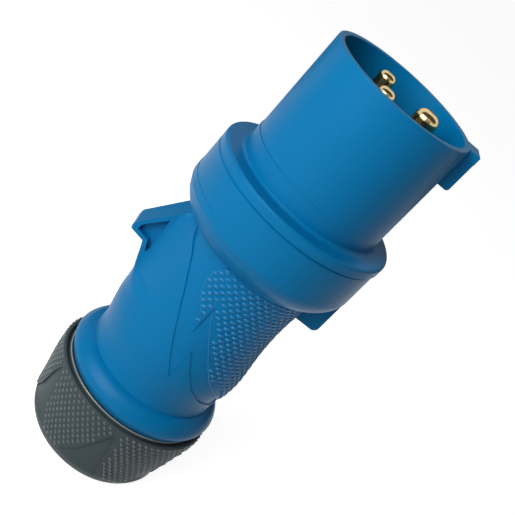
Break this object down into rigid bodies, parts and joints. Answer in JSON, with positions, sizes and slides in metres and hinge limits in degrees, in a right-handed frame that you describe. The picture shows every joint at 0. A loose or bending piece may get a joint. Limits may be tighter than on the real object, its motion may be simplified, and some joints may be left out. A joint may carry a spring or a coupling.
{
  "type": "industrial pin and sleeve plug",
  "caption": "Blue straight industrial plug: round keyed sleeve round three brass pins, flanged collar on a contoured grip, and a grey screw gland at the cable end.",
  "frame": {"origin": "centre of the gland nut's flat rear face, on the cable entry's axis", "axes": "+Z along the plug's axis from the cable entry to the mouth; +X towards the key and the earth pin, the 6 o'clock side"},
  "size_m": [0.0589, 0.0556, 0.1423],
  "materials": {
    "blue_moulding": "fine moulded grain",
    "grey_moulding": "fine moulded grain",
    "pin_brass": "polished",
    "screw_steel": "zinc plated",
    "carrier_plastic": "moulded",
    "cage_plastic": "moulded",
    "seal_rubber": "moulded"
  },
  "bodies": {
    "handle": {"handle_shell": "blue_moulding", "clamping_cage": "cage_plastic", "support_ring": "cage_plastic", "grommet_outer": "seal_rubber", "grommet_inner": "seal_rubber"},
    "front": {"front_sleeve": "blue_moulding", "housing_seal": "seal_rubber", "pin_earth": "pin_brass", "pin_line": "pin_brass", "pin_neutral": "pin_brass", "terminal_screws": "screw_steel", "contact_carrier": "carrier_plastic", "carrier_screws": "screw_steel", "terminal_cover": "carrier_plastic", "cover_screw": "screw_steel"},
    "ring_body": {"slip_ring": "cage_plastic"},
    "nut_body": {"gland_nut": "grey_moulding"}
  },
  "joints": [
    {"name": "bayonet_turn", "type": "hinge", "parent": "handle", "child": "front", "pos_m": [0, 0, 0.1], "axis": [0, 0, 1], "range_deg": [0, 30]},
    {"name": "gland_slide", "type": "slide", "parent": "handle", "child": "ring_body", "axis": [0, 0, -1], "range_m": [0, 0.0076]},
    {"name": "gland_turn", "type": "hinge", "parent": "ring_body", "child": "nut_body", "pos_m": [0, 0, 0.01], "axis": [0, 0, -1], "range_deg": [0, 900]}
  ],
  "couplings": [
    {"joint": "gland_slide", "follows": "gland_turn", "m_per_rad": 0.00047746}
  ]
}
